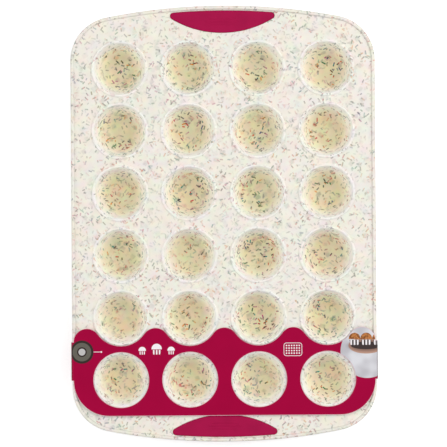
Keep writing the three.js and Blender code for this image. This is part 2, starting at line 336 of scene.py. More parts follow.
class CardSettings(bpy.types.PropertyGroup):
    """Sizes and colours of the card sleeve."""

    thickness: size("Thickness", "Of the card", 0.6)
    hole_margin: size("Hole margin", "From a front cup's mouth to the card", 1.8)
    notch_margin: size("Notch margin", "From a second row cup's mouth to the card", 2.4)
    front_margin: size("Front margin", "From the holes to the front edge", 7.7)
    side_inset: size("Side inset", "Of the face panel's straight sides from the tray's side", 1.1)
    corner_radius: size("Corner radius", "Of the front corners", 32)
    crown_radius: size("Crown radius", "Of the tongues between two cups", 12.3)
    end_radius: size("End radius", "Of the tongues beside the outer cups", 12.2)
    foot_margin: size("Foot margin", "From the outer cups' feet to the lower folds", 4)
    seam_width: size("Seam width", "Where the two ends are glued", 16)
    lower_round: size("Lower rounding", "Of the lower folds", 3)
    edge_width: size("Cut edge", "Width of the pale line along the cut edges", 0.3)
    ink: colour("Ink", "Dark pink print", 168, 1, 61)
    # Painted shade on the print where the card turns down at the folds
    fold_painted_shade: share("Fold shade", "How much the print darkens where it turns down", 0.6)
    board: colour("Board", "Inside of the card", 214, 208, 200)
    edge: colour("Edge", "Cut edge of the card", 246, 204, 216)
    patch: size("Patch", "Between the slightly darker parts of the print", 25)
    patch_shade: share("Patch shade", "How much darker those parts are", 0.06)
    grain: size("Grain", "Of the coated face", 0.6)
    relief: size("Relief", "Height of the coated face's grain", 0.006)
    board_fibre: size("Board fibre", "Between the fibres of the bare card", 0.5)
    board_relief: size("Board relief", "Height of the bare card's fibres", 0.02)
    board_shade: share("Board shade", "How much darker the bare card is between its fibres", 0.12)


class PrintSettings(bpy.types.PropertyGroup):
    """Plain pictures printed on the sleeve."""

    softness: size("Softness", "Of the edges in the print", 0.12)
    line: size("Line", "Half the width of a thin line", 0.25)
    white: colour("White", "Of the plain pictures", 250, 244, 247)
    section: spot("Section", "Middle of the picture of a wire in a rim", -128.2, -114.6)
    section_radius: size("Section radius", "Of the picture of a wire in a rim", 10.4)
    pointer: size("Pointer", "Length of the line beside that picture", 7)
    muffins: spot("Muffins", "Middle of the row of white muffins", -61, -112.6)
    muffin_half: size("Muffin half", "Half the width of the middle white muffin", 4.6)
    muffin_pitch: size("Muffin pitch", "Between two white muffins", 13)
    pan: spot("Pan", "Middle of the picture of a pan", 61.5, -113.4)
    pan_pitch: size("Pan pitch", "Between two cups in the picture of a pan", 2.3)
    badge: spot("Badge", "Middle of the round picture at the right fold", 128.3, -115.6)
    badge_radius: size("Badge radius", "Of the round picture", 24)
    plate: spot("Plate", "Middle of the dark plate in the round picture", 127.5, -104.6)
    plate_half: size("Plate half", "Half the width of the plate", 14)
    cake_half: size("Cake half", "Half the width of a muffin on the plate", 5.2)
    cake_pitch: size("Cake pitch", "Between two muffins on the plate", 10.6)
    crumb: size("Crumb", "Between the crumbs of a muffin's top", 1.7)
    haze: size("Haze", "Between the soft clouds behind the plate", 16)
    paper: colour("Paper", "Behind the plate", 224, 224, 229)
    paper_shade: colour("Paper shade", "In the soft clouds", 194, 192, 198)
    wood: colour("Wood", "Of the round board under the plate", 190, 150, 132)
    crust: colour("Crust", "Of the muffins' tops", 196, 128, 74)
    crust_dark: colour("Dark crust", "Between the crumbs", 128, 78, 46)
    plate_colour: colour("Plate", "Of the dark plate", 70, 58, 58)
    steel: colour("Steel", "Of the wire in the picture", 196, 194, 194)
    grey: colour("Grey", "Of the rim in the picture", 104, 101, 92)
    dark: colour("Dark", "Round the wire and the rim in the picture", 58, 48, 46)


class StageSettings(bpy.types.PropertyGroup):
    """Camera, light and floor."""

    picture_width: size("Picture width", "Width shown at the deck's height", 402.3)
    distance: size("Camera distance", "Above the deck", 2200)
    aim: spot("Aim", "Place the camera looks at", -0.12, 0.13)
    roll: angle("Roll", "Turn of the camera round its own line", -0.4)
    lamp_distance: size("Lamp distance", "From the pan to each lamp", 2400)
    lamp_size: size("Lamp size", "Width of each lamp", 1500)
    key_height: angle("Key height", "Of the main light above the horizon", 47)
    key_turn: angle("Key turn", "Of the main light from +X towards +Y", 22)
    key: strength("Key", "Power of the main light in watts", 30)
    side_height: angle("Side height", "Of the second light above the horizon", 40)
    side_turn: angle("Side turn", "Of the second light from +X towards +Y", 185)
    side: strength("Side", "Power of the second light in watts", 17.5)
    fill: strength("Fill", "Strength of the light from all round", 0.46)
    ceiling: share("Ceiling", "Brightness straight overhead, as a gloss shows it", 0.08)
    ceiling_reach: angle("Ceiling reach", "From straight overhead to where that starts", 50)
    floor_size: size("Floor size", "From its middle to a side", 6000)
    floor_lift: share("Floor lift", "Light that the floor adds to itself in the picture", 0.5)
    floor: colour("Floor", "Of the white floor", 240, 240, 240)


# Modelling

Move = namedtuple("Move", "centre angle run steps")
Levels = namedtuple("Levels", "floor deck under flange rim_top rim_bottom")


def turn(centre_x, centre_y, sweep_angle, steps=ARC_STEPS):
    return Move(Vector((centre_x, centre_y, 0)), sweep_angle, STAY, steps)


def run(x, y):
    return Move(STAY, 0, Vector((x, y, 0)), 1)


def line(points, rounds=()):
    """A bmesh with one line through the points. Each inner corner is rounded over its length in rounds."""
    bm = bmesh.new()
    verts = [bm.verts.new(point) for point in points]
    for pair in zip(verts, verts[1:]):
        bm.edges.new(pair)
    for vert, reach in zip(verts[1:-1], rounds):
        if reach:
            bmesh.ops.bevel(
                bm,
                geom=[vert],
                offset=reach,
                offset_type="OFFSET",
                affect="VERTICES",
                segments=ROUND_STEPS + round(reach / STEP_REACH),
                profile=0.5,
                material=-1,
            )
    return bm


def sweep(bm, route):
    """Carries the bmesh's line, or its one point, along a route of turns and straight runs."""
    end = bm.verts[:] + bm.edges[:]
    for move in route:
        made = bmesh.ops.spin(
            bm,
            geom=end,
            cent=move.centre,
            axis=UP,
            dvec=move.run / move.steps,
            angle=move.angle,
            steps=move.steps,
        )
        end = [item for item in made["geom_last"] if not isinstance(item, bmesh.types.BMFace)]
    return bm


def mirror(bm, axis):
    whole = bm.verts[:] + bm.edges[:] + bm.faces[:]
    bmesh.ops.mirror(bm, geom=whole, axis=axis, merge_dist=TOUCH)
    return bm


def weld(bm):
    bmesh.ops.remove_doubles(bm, verts=bm.verts, dist=TOUCH)
    return bm


def add(main, part, places=(Matrix(),)):
    """Copies a part into the main bmesh at each of the places."""
    mesh = bpy.data.meshes.new("part")
    part.to_mesh(mesh)
    part.free()
    for place in places:
        mesh.transform(place)
        main.from_mesh(mesh)
        mesh.transform(place.inverted())
    bpy.data.meshes.remove(mesh)


def fill_level(bm, height):
    """Closes the flat face that the open edges at one height bound."""
    edges = [
        edge
        for edge in bm.edges
        if len(edge.link_faces) < 2 and all(abs(vert.co.z - height) < TOUCH for vert in edge.verts)
    ]
    made = bmesh.ops.triangle_fill(bm, use_beauty=True, use_dissolve=False, edges=edges, normal=UP)
    if not any(isinstance(item, bmesh.types.BMFace) for item in made["geom"]):
        raise RuntimeError(f"nothing was filled at height {height:.4f}")
    for edge in edges:
        edge.smooth = False


def piece(bm, name, body, replaced, materials):
    """Makes an object of the bmesh, which rides on a body and stands for the replaced nodes."""
    for face in bm.faces:
        face.smooth = True
    for edge in bm.edges:
        if len(edge.link_faces) == 2 and edge.calc_face_angle() > SHARP_TURN:
            edge.smooth = False
    mesh = bpy.data.meshes.new(name)
    bm.to_mesh(mesh)
    bm.free()
    for material in materials:
        mesh.materials.append(material)
    made = bpy.data.objects.new(name, mesh)
    bpy.context.scene.collection.objects.link(made)
    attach(made, body)
    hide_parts(*replaced)
    return made


def tray_levels(tray):
    """Heights of the cups' floor, the deck's faces, the flange's underside and the rim's top and bottom."""
    floor = tray.foot + tray.wall
    deck = floor + tray.depth
    under = deck - tray.deck
    return Levels(floor, deck, under, deck - tray.flange, deck + tray.rim_rise, under - tray.rim_drop)


def cup_places(tray):
    """The middles of the cups in plan, row by row from the front."""
    xs = [(i - (tray.columns - 1) / 2) * tray.pitch_x for i in range(tray.columns)]
    ys = [(i - (tray.rows - 1) / 2) * tray.pitch_y for i in range(tray.rows)]
    return [(x, y) for y in ys for x in xs]


def wall_radius(tray, height):
    """Radius of a cup's inner wall at a height above its floor."""
    return tray.floor_radius + (tray.mouth_radius - tray.floor_radius) * height / tray.depth


def wall_turn(tray):
    """Slope of a cup's wall, from level."""
    return math.atan2(tray.depth, tray.mouth_radius - tray.floor_radius)


def cup_inside(tray, levels):
    """A cup's floor, wall and raised ring, and a flat ring of the deck round it."""
    lip_top = levels.deck + tray.lip_height
    lip_outer = tray.mouth_radius + tray.lip_width
    points = [
        (0, 0, levels.floor),
        (tray.floor_radius, 0, levels.floor),
        (tray.mouth_radius, 0, levels.deck),
        (tray.mouth_radius + tray.lip_bevel, 0, lip_top),
        (lip_outer - tray.lip_bevel, 0, lip_top),
        (lip_outer, 0, levels.deck),
        (lip_outer + tray.ring, 0, levels.deck),
    ]
    bowl = tray.bowl_radius * math.tan(wall_turn(tray) / 2)
    bm = line(points, (bowl, tray.lip_round, tray.lip_soft, tray.lip_soft, tray.lip_foot))
    return weld(sweep(bm, [turn(0, 0, FULL_TURN, CUP_STEPS)]))


def cup_outside(tray, levels):
    """A cup's outer wall and underside, and a flat ring of the deck's underside round it."""
    across = tray.wall / math.sin(wall_turn(tray))
    wall_top = wall_radius(tray, levels.under - levels.floor) + across
    points = [
        (0, 0, tray.foot),
        (wall_radius(tray, -tray.wall) + across, 0, tray.foot),
        (wall_top, 0, levels.under),
        (wall_top + tray.ring * 2, 0, levels.under),
    ]
    bowl = (tray.bowl_radius + tray.wall) * math.tan(wall_turn(tray) / 2)
    bm = line(points, (bowl, tray.wall / 2))
    return weld(sweep(bm, [turn(0, 0, FULL_TURN, CUP_BACK_STEPS)]))


def rim_shell(tray, levels):
    """The rounded rim, from the deck's top over the outside to the deck's underside."""
    end_y = tray_high.y - tray.end_radius
    corner_x = tray_high.x - tray.corner_radius
    rise = math.sqrt((tray.end_radius - tray.corner_radius) ** 2 - corner_x**2)
    corner_turn = math.atan2(rise, corner_x)
    inner = tray.rim_width
    small = tray.lip_soft
    section = [
        (inner + RIM_MEETING, levels.deck),
        (inner - tray.rim_foot, levels.deck),
        (tray.rim_crown, levels.rim_top),
        (0, levels.rim_top),
        (0, levels.rim_bottom),
        (tray.rim_back, levels.rim_bottom),
        (inner - small, levels.under),
        (inner + RIM_MEETING, levels.under),
    ]
    rounds = (
        tray.rim_foot,
        tray.rim_crown_round,
        tray.rim_top_round,
        tray.rim_round,
        tray.rim_round / 2,
        small,
    )
    bm = line([(tray_high.x - inset, 0, height) for inset, height in section], rounds)
    route = [
        run(0, end_y + rise),
        turn(corner_x, end_y + rise, corner_turn),
        turn(0, end_y, QUARTER_TURN - corner_turn),
    ]
    return weld(mirror(mirror(sweep(bm, route), "X"), "Y"))


def lens(tray, grips, section, rounds=(), grow_outer=0.0, grow_inner=0.0, grow_tip=0.0):
    """Carries a section round a grip's outline at the rear end. Its points are (way in, height).

    The outline has a shallow outer arc, a rounder inner arc and a small arc at each tip.
    """
    edge_inset = tray.rim_width + grips.from_rim
    outer_y = tray_high.y - tray.end_radius
    outer = tray.end_radius - edge_inset + grow_outer
    inner_y = tray_high.y - edge_inset - grips.depth + grips.inner_radius
    inner = grips.inner_radius + grow_inner
    tip = grips.tip_radius + grow_tip
    apart = inner_y - outer_y
    rise = (apart**2 + (outer - tip) ** 2 - (inner - tip) ** 2) / (2 * apart)
    tip_x = math.sqrt((outer - tip) ** 2 - rise**2)
    tip_y = outer_y + rise
    outer_turn = math.atan2(rise, tip_x)
    inner_turn = math.atan2(tip_y - inner_y, tip_x)
    bm = line([(0, outer_y + outer - way_in, height) for way_in, height in section], rounds)
    route = [
        turn(0, outer_y, outer_turn - QUARTER_TURN),
        turn(tip_x, tip_y, inner_turn - outer_turn),
        turn(0, inner_y, -QUARTER_TURN - inner_turn),
    ]
    return weld(mirror(sweep(bm, route), "X"))


def grip_window(tray, grips, levels):
    """The edge of the flange that a grip's groove holds, with a rebate above and below it."""
    section = [
        (-grips.gap, levels.deck),
        (-grips.gap, levels.deck - grips.plate),
        (grips.hold, levels.deck - grips.plate),
        (grips.hold, levels.flange + grips.plate),
        (-grips.gap, levels.flange + grips.plate),
        (-grips.gap, levels.flange),
    ]
    return lens(tray, grips, section)


def flange_side(tray, grips, levels):
    """The side of the thick flange, under the deck."""
    section = [(0, levels.flange), (0, levels.under)]
    beside_rim = grips.from_rim - RIM_MEETING * 2
    margin = tray.flange_margin
    return lens(tray, grips, section, (), beside_rim, margin, margin)


def note_depth(bm, tray, levels):
    """Keeps how deep in a cup each point of the upper side lies, from 0 at the deck to 1 at the floor.

    Points of the thin walls are marked as well, and those of the raised rings are marked less. The depth
    places the painted shade deep in the cups, and the mark places the painted light on the walls and rings.
    """
    depth = bm.verts.layers.float.new("cup_depth")
    thin = bm.verts.layers.float.new("cup_painted_light_mark")
    places = cup_places(tray)
    bm.normal_update()
    for vert in bm.verts:
        height = vert.co.z - levels.floor
        if vert.normal.z < 0:
            continue
        away = min(math.hypot(vert.co.x - x, vert.co.y - y) for x, y in places)
        if away < wall_radius(tray, min(height, tray.depth)) + tray.wall / 2:
            vert[depth] = max(1 - height / tray.depth, 0)
            vert[thin] = 1
        elif height > tray.depth + TOUCH and away < tray.mouth_radius + tray.lip_width:
            vert[thin] = RING_MARK


def tray_mesh(tray, grips):
    levels = tray_levels(tray)
    bm = bmesh.new()
    cups = [Matrix.Translation((x, y, 0)) for x, y in cup_places(tray)]
    add(bm, cup_inside(tray, levels), cups)
    add(bm, cup_outside(tray, levels), cups)
    add(bm, rim_shell(tray, levels))
    add(bm, grip_window(tray, grips, levels), BOTH_ENDS)
    add(bm, flange_side(tray, grips, levels), BOTH_ENDS)
    weld(bm)
    for height in (levels.deck, levels.under, levels.flange):
        fill_level(bm, height)
    bmesh.ops.recalc_face_normals(bm, faces=bm.faces)
    note_depth(bm, tray, levels)
    return bm


def rib(grips, height, way, length, x, y):
    """A raised bar with round ends, along X, open at its foot. Way is 1 on top and -1 underneath."""
    half = grips.rib_width / 2
    rise = grips.rib_height * way
    points = [(half, height), (half * RIB_TOP_SHARE, height + rise), (0, height + rise)]
    reach = length / 2 - half
    bm = line([(x + reach, y + out, z) for out, z in points], (abs(rise) / 2,))
    route = [
        turn(x + reach, y, -HALF_TURN, FOLD_STEPS),
        run(-2 * reach, 0),
        turn(x - reach, y, -HALF_TURN, FOLD_STEPS),
        run(2 * reach, 0),
    ]
    return weld(sweep(bm, route))


def grip_mesh(tray, grips):
    """A grip insert for the rear end: two plates with soft borders, joined by a core, and ribs."""
    levels = tray_levels(tray)
    top = levels.deck + grips.proud
    bottom = levels.flange - grips.proud
    core = grips.hold + grips.gap
    upper = levels.deck - grips.plate + grips.gap
    lower = levels.flange + grips.plate - grips.gap
    section = [
        (grips.border, top + grips.crown),
        (0, top),
        (0, upper),
        (core, upper),
        (core, lower),
        (0, lower),
        (0, bottom),
        (grips.border, bottom - grips.crown),
    ]
    bm = lens(tray, grips, section, (grips.edge_round, 0, 0, 0, 0, grips.edge_round))
    middle_y = tray_high.y - tray.rim_width - grips.from_rim - grips.depth / 2
    for height, way in ((top + grips.crown, 1), (bottom - grips.crown, -1)):
        for i in range(grips.ribs):
            step = i - (grips.ribs - 1) / 2
            length = grips.rib_length * (1 - RIB_TAPER_SHARE * abs(step))
            add(bm, rib(grips, height, way, length, 0, middle_y + step * grips.rib_pitch))
        fill_level(bm, height)
    weld(bm)
    bmesh.ops.recalc_face_normals(bm, faces=bm.faces)
    return bm


def card_band(tray, card, top, half_width, front_y, rear_y):
    """The band that goes down both sides and under the cups. Its two ends lie over each other, glued."""
    levels = tray_levels(tray)
    mitre = card.thickness / 2
    wall_x = sleeve_high.x
    last_x = (tray.columns - 1) / 2 * tray.pitch_x
    foot_x = last_x + tray.floor_radius + tray.wall + card.foot_margin
    slope_turn = math.atan2(wall_x - mitre - foot_x, levels.rim_bottom - mitre)
    wall_z = levels.rim_bottom - mitre * math.tan(slope_turn / 2)
    foot_x += mitre * math.tan((QUARTER_TURN - slope_turn) / 2)
    seam = card.seam_width / 2
    side = [(half_width, top), (wall_x, top), (wall_x, wall_z), (foot_x, 0)]
    rounds = (wall_x - half_width, card.lower_round, card.lower_round)
    right = [*side, (-seam, 0)]
    overlap = [(-seam - 2 * card.thickness, 0), (-seam, card.thickness), (seam, card.thickness)]
    left = [(-x, z) for x, z in side] + overlap
    band = bmesh.new()
    for points in (right, left):
        bm = weld(line([(x, front_y, z) for x, z in points], rounds))
        add(band, sweep(bm, [run(0, rear_y - front_y)]))
    return band


def card_mesh(tray, card):
    """The sleeve's printed outer skin: a face panel with holes and tongues, and the band that holds it on."""
    rows = sorted({y for _, y in cup_places(tray)})
    front_row, second_row = rows[:2]
    top = sleeve_high.z
    hole = tray.mouth_radius + card.hole_margin
    notch = tray.mouth_radius + card.notch_margin
    half_width = tray_high.x - card.side_inset
    last_x = (tray.columns - 1) / 2 * tray.pitch_x
    end_x = half_width - card.end_radius
    end_drop = math.sqrt((notch + card.end_radius) ** 2 - (end_x - last_x) ** 2)
    end_turn = math.atan2(end_drop, end_x - last_x)
    crown_drop = math.sqrt((notch + card.crown_radius) ** 2 - (tray.pitch_x / 2) ** 2)
    crown_turn = math.atan2(crown_drop, tray.pitch_x / 2)
    front_y = front_row - hole - card.front_margin
    corner_x = half_width - card.corner_radius
    corner_y = front_y + card.corner_radius
    rear_y = second_row - end_drop
    route = [
        run(corner_x, 0),
        turn(corner_x, corner_y, QUARTER_TURN),
        run(0, rear_y - corner_y),
        turn(end_x, rear_y, HALF_TURN - end_turn),
        turn(last_x, second_row, crown_turn + end_turn - HALF_TURN),
    ]
    crown_x = last_x - tray.pitch_x / 2
    while crown_x > TOUCH:
        route.append(turn(crown_x, second_row - crown_drop, HALF_TURN - 2 * crown_turn))
        route.append(turn(crown_x - tray.pitch_x / 2, second_row, 2 * crown_turn - HALF_TURN))
        crown_x -= tray.pitch_x
    route.append(turn(0, second_row - crown_drop, QUARTER_TURN - crown_turn))
    bm = mirror(sweep(line([(0, front_y, top)]), route), "X")
    for x, y in cup_places(tray):
        if y == front_row:
            place = Matrix.Translation((x, y, top))
            bmesh.ops.create_circle(bm, radius=hole, segments=HOLE_STEPS, matrix=place)
    add(bm, card_band(tray, card, top, half_width, corner_y, rear_y))
    weld(bm)
    fill_level(bm, top)
    bmesh.ops.recalc_face_normals(bm, faces=bm.faces)
    printed = bm.faces[:]
    cut = bmesh.ops.inset_region(
        bm, faces=printed, use_boundary=True, use_even_offset=True, thickness=card.edge_width
    )
    for face in cut["faces"]:
        face.material_index = CUT_EDGE
    for edge in bm.edges:
        if all(abs(abs(vert.co.x) - half_width) < TOUCH for vert in edge.verts):
            edge.smooth = False
    return bm


# Materials


class Number:
    """A number that varies over a surface. Arithmetic on it adds Math nodes to its material."""

    def __init__(self, socket):
        self.socket = socket

    def maths(self, operation, *others):
        node = self.socket.id_data.nodes.new("ShaderNodeMath")
        node.operation = operation
        for value, slot in zip((self, *others), node.inputs):
            feed(value, slot)
        return Number(node.outputs[0])

    def __add__(self, other):
        return self.maths("ADD", other)

    def __sub__(self, other):
        return self.maths("SUBTRACT", other)

    def __mul__(self, other):
        return self.maths("MULTIPLY", other)

    def __abs__(self):
        return self.maths("ABSOLUTE")

    def least(self, other):
        return self.maths("MINIMUM", other)

    def most(self, other):
        return self.maths("MAXIMUM", other)

    def fraction(self):
        return self.maths("FRACT")

    def between(self, low, high):
        """Low where this number is 0 and high where it is 1."""
        return self * (high - low) + low

    def ramp(self, start, stop, kind="SMOOTHSTEP"):
        """0 at start and 1 at stop, and level beyond them."""
        node = self.socket.id_data.nodes.new("ShaderNodeMapRange")
        node.interpolation_type = kind
        feed(self, node.inputs["Value"])
        feed(start, node.inputs["From Min"])
        feed(stop, node.inputs["From Max"])
        return Number(node.outputs["Result"])


class Arrow:
    """A vector that varies over a surface. Arithmetic on it adds Vector Math nodes to its material."""

    def __init__(self, socket):
        self.socket = socket

    def maths(self, operation, *others, result=None):
        node = self.socket.id_data.nodes.new("ShaderNodeVectorMath")
        node.operation = operation
        for value, slot in zip((self, *others), node.inputs):
            feed(value, slot)
        if result:
            return Number(node.outputs[result])
        return Arrow(node.outputs["Vector"])

    def __add__(self, other):
        return self.maths("ADD", other)

    def __sub__(self, other):
        return self.maths("SUBTRACT", other)

    def __mul__(self, other):
        return self.maths("MULTIPLY", other)

    def times(self, factor):
        node = self.socket.id_data.nodes.new("ShaderNodeVectorMath")
        node.operation = "SCALE"
        feed(self, node.inputs[0])
        feed(factor, node.inputs["Scale"])
        return Arrow(node.outputs["Vector"])

    def dot(self, other):
        return self.maths("DOT_PRODUCT", other, result="Value")

    def cross(self, other):
        return self.maths("CROSS_PRODUCT", other)

    def unit(self):
        return self.maths("NORMALIZE")

    def parts(self):
        node = self.socket.id_data.nodes.new("ShaderNodeSeparateXYZ")
        feed(self, node.inputs[0])
        return [Number(output) for output in node.outputs]


def feed(value, slot):
    """Links a number, arrow or socket to an input, or sets the input to a plain value."""
    if isinstance(value, (Number, Arrow)):
        value = value.socket
    if isinstance(value, bpy.types.NodeSocket):
        slot.id_data.links.new(value, slot)
    elif hasattr(value, "__len__") and len(value) == 3 and len(slot.default_value) == 4:
        slot.default_value = (*value, 1.0)
    else:
        slot.default_value = value


def blank(name, **plain_values):
    """A material with one Principled shader, its plain values set on its own sockets."""
    material = bpy.data.materials.new(name)
    material.use_nodes = True
    shader = material.node_tree.nodes["Principled BSDF"]
    for label, value in plain_values.items():
        feed(value, shader.inputs[label.replace("_", " ")])
    return material, material.node_tree, shader


def on_object(tree, output="Object"):
    return Arrow(tree.nodes.new("ShaderNodeTexCoord").outputs[output])


def attribute(tree, name):
    node = tree.nodes.new("ShaderNodeAttribute")
    node.attribute_name = name
    return Number(node.outputs["Fac"])


def noise_outputs(place, spacing, detail):
    node = place.socket.id_data.nodes.new("ShaderNodeTexNoise")
    feed(place, node.inputs["Vector"])
    feed(1 / spacing, node.inputs["Scale"])
    feed(detail, node.inputs["Detail"])
    return node.outputs


def noise(place, spacing, detail=2):
    """Soft noise whose lumps are a spacing apart."""
    return Number(noise_outputs(place, spacing, detail)["Fac"])


def colour_noise(place, spacing):
    """Three soft noises in one arrow, each about 0 in the middle."""
    return Arrow(noise_outputs(place, spacing, 1)["Color"]) - (0.5, 0.5, 0.5)


def mix(factor, first, second):
    """A colour between two others: the first at 0 and the second at 1."""
    node = factor.socket.id_data.nodes.new("ShaderNodeMix")
    node.data_type = "RGBA"
    feed(factor, node.inputs["Factor"])
    feed(first, node.inputs[MIX_FIRST])
    feed(second, node.inputs[MIX_SECOND])
    return node.outputs[MIX_RESULT]


def darker(tone, by):
    """A colour with a share of its light taken away."""
    return [value * (1 - by) for value in tone]


def vary_roughness(shader, grain, low, high):
    """Makes a finish low in roughness where its grain is 0 and high where it is 1."""
    feed(grain.between(low, high), shader.inputs["Roughness"])


def raise_surface(tree, shader, height, distance):
    """Bumps a shader's surface by a height from 0 to 1 over a distance."""
    node = tree.nodes.new("ShaderNodeBump")
    feed(distance, node.inputs["Distance"])
    feed(height, node.inputs["Height"])
    tree.links.new(node.outputs["Normal"], shader.inputs["Normal"])


def fibre_layer(tree, place, facing, fibres, shift, scale, widening):
    """Short fibres frozen in the silicone, one in each cell, seen where they lie near the surface."""
    cells = tree.nodes.new("ShaderNodeTexVoronoi")
    moved = place + shift
    feed(moved, cells.inputs["Vector"])
    feed(1 / (fibres.spacing * scale), cells.inputs["Scale"])
    draw = Arrow(cells.outputs["Color"])
    draws = [(part * factor).fraction() for part, factor in zip(draw.parts(), CELL_DRAWS)]
    bend_draw, length_draw, tone_draw = draws
    lean = draw.times(2) - (1, 1, 1)
    flat_lean = (lean - facing.times(lean.dot(facing))).unit()
    away = moved - Arrow(cells.outputs["Position"])
    under = away.dot(facing)
    flat_away = away - facing.times(under)
    along = flat_away.dot(flat_lean)
    across = flat_away.dot(facing.cross(flat_lean))
    bend = bend_draw.between(-fibres.bend / 2, fibres.bend / 2)
    across = across + along * along * bend
    half_length = length_draw.between(*LENGTH_SHARES) * (fibres.length * scale / 2)
    half_width = fibres.width * widening / 2
    soft = fibres.softness * widening
    in_length = (half_length - abs(along)).ramp(-soft, soft)
    in_width = abs(across).ramp(half_width + soft, half_width - soft)
    near = abs(under).ramp(fibres.reach * scale, fibres.fade * scale)
    tones = tree.nodes.new("ShaderNodeValToRGB")
    ramp = tones.color_ramp
    ramp.interpolation = "CONSTANT"
    ramp.elements.remove(ramp.elements[-1])
    for i in range(1, len(FIBRE_TONES)):
        ramp.elements.new(i / len(FIBRE_TONES))
    for element, tone in zip(ramp.elements, FIBRE_TONES):
        element.color = (*linear(*tone), 1)
    prevailing = noise(place, fibres.hue_size, detail=0) * fibres.hue_pull
    feed((tone_draw * TONE_SPREAD_SHARE + prevailing).fraction(), tones.inputs["Fac"])
    return in_length * in_width * near, tones.outputs["Color"]


def speckled_silicone(tray, fibres):
    """Cream silicone with coloured fibres and faint clouds of dye in it. Painted light makes the cups' walls
    and raised rings paler. Painted shade makes the cups' lower parts warmer and darker, and the rim's steep
    sides darker.
    """
    material, tree, shader = blank("speckled_silicone", IOR=SILICONE_IOR, Specular_IOR_Level=0.2)
    place = on_object(tree)
    facing = on_object(tree, "Normal")
    depth = attribute(tree, "cup_depth")
    # Painted shade, growing with depth towards the cups' floors; the same ramp also strengthens the clouds of
    # dye
    deep = depth.ramp(tray.painted_shade_from, tray.painted_shade_full, "LINEAR")
    thin = attribute(tree, "cup_painted_light_mark")
    # Painted light: the marked walls and rings are painted paler than the deck
    pale = mix(thin, tray.colour, tray.painted_light_wall_colour)
    painted_wall_tone = mix(depth.ramp(0, tray.painted_lower_wall_full, "LINEAR"), pale, tray.painted_lower_wall_colour)
    plain = Arrow(mix(deep, painted_wall_tone, tray.painted_shade_floor_colour))
    haze = colour_noise(place, fibres.haze_size).times(deep.between(fibres.haze, fibres.haze_deep))
    shade = (plain * (haze + WHITE)).maths("MINIMUM", WHITE)
    # 0 on the thin walls and the raised rings, which are marked, and 1 elsewhere, where the rim's steep sides
    # take a painted shade
    unmarked = thin.between(1, 1 - 1 / RING_MARK).most(0)
    # Painted shade: the rim's steep sides are darkened by how far their faces turn from level
    steep = abs(facing.parts()[2]).ramp(*STEEP_LEVELS) * unmarked
    shade = shade.times(steep.between(1, 1 - tray.steep_painted_shade))
    crowd = noise(place, fibres.crowd_size).ramp(*CROWD_LEVELS).between(fibres.crowd_low, 1)
    shown = depth.between(fibres.shown, fibres.shown_deep) * crowd
    for shift, scale, widening, part in FIBRE_LAYERS:
        mask, tone = fibre_layer(tree, place, facing, fibres, shift, scale, widening)
        shade = mix(mask * shown * part, shade, tone)
    feed(shade, shader.inputs["Base Color"])
    grain = noise(place, tray.grain, detail=3)
    swell = noise(place, tray.swell, detail=1)
    vary_roughness(shader, grain, *SILICONE_ROUGHNESS)
    raise_surface(tree, shader, grain * tray.grain_part + swell, tray.relief)
    return material


def drawn_steel(wire):
    """Steel wire with fine dull marks all over it."""
    material, tree, shader = blank("drawn_steel", Metallic=1)
    marks = noise(on_object(tree), wire.mark, detail=4)
    vary_roughness(shader, marks, *STEEL_ROUGHNESS)
    tone = mix(marks.ramp(*STEEL_LEVELS), wire.dull_colour, wire.colour)
    feed(tone, shader.inputs["Base Color"])
    raise_surface(tree, shader, marks, wire.relief)
    return material


def grip_silicone(grips):
    """Dark pink silicone with a satin skin."""
    material, tree, shader = blank("grip_silicone", IOR=SILICONE_IOR, Specular_IOR_Level=0.1)
    place = on_object(tree)
    clouds = noise(place, grips.cloud).ramp(*GRIP_LEVELS)
    tone = mix(clouds, grips.colour, darker(grips.colour, grips.cloud_shade))
    feed(tone, shader.inputs["Base Color"])
    grain = noise(place, grips.grain, detail=3)
    vary_roughness(shader, grain, *GRIP_ROUGHNESS)
    raise_surface(tree, shader, grain, grips.relief)
    return material


def board_finish(name, tone, card):
    """Bare card: short fibres in a slightly uneven tone."""
    material, tree, shader = blank(name, Roughness=0.85, Specular_IOR_Level=0.2)
    fibres = noise(on_object(tree), card.board_fibre, detail=4)
    uneven = mix(fibres.ramp(*BOARD_LEVELS), darker(tone, card.board_shade), tone)
    feed(uneven, shader.inputs["Base Color"])
    raise_surface(tree, shader, fibres, card.board_relief)
    return material


# Printed pictures. A distance is below 0 inside a shape and above 0 outside it.


def length_of(x, y):
    return (x * x + y * y).maths("SQRT")


def oval(x, y, half_width, flatness):
    """A distance to an oval round the middle of x and y, true along its width."""
    return length_of(x, y * flatness) - half_width


def block(x, y, half_width, half_height, corner=0.0):
    """The distance to a rectangle with round corners, round the middle of x and y."""
    out_x = abs(x) - (half_width - corner)
    out_y = abs(y) - (half_height - corner)
    return length_of(out_x.most(0), out_y.most(0)) + out_x.most(out_y).least(0) - corner


def inked(distance, soft):
    """1 inside a shape and 0 outside it, with a soft edge."""
    return distance.ramp(soft, -soft)


def cake(x, y, half_width, soft):
    """The masks of a small muffin: its dome, its paper cup and the cup's pleats."""
    ball = length_of(x, y - half_width * DOME_LIFT_SHARE) - half_width
    dome = inked(ball.most(y * -1), soft)
    flank = abs(x) - y * CUP_SLOPE - half_width * CUP_HALF_SHARE
    cup = inked(flank.most(y + half_width * CUP_DROP_SHARE).most(y * -1 - half_width), soft)
    waves = (x * (PLEATS * math.pi / half_width)).maths("COSINE")
    return dome, cup, waves.ramp(-PLEAT_SOFTNESS, PLEAT_SOFTNESS)


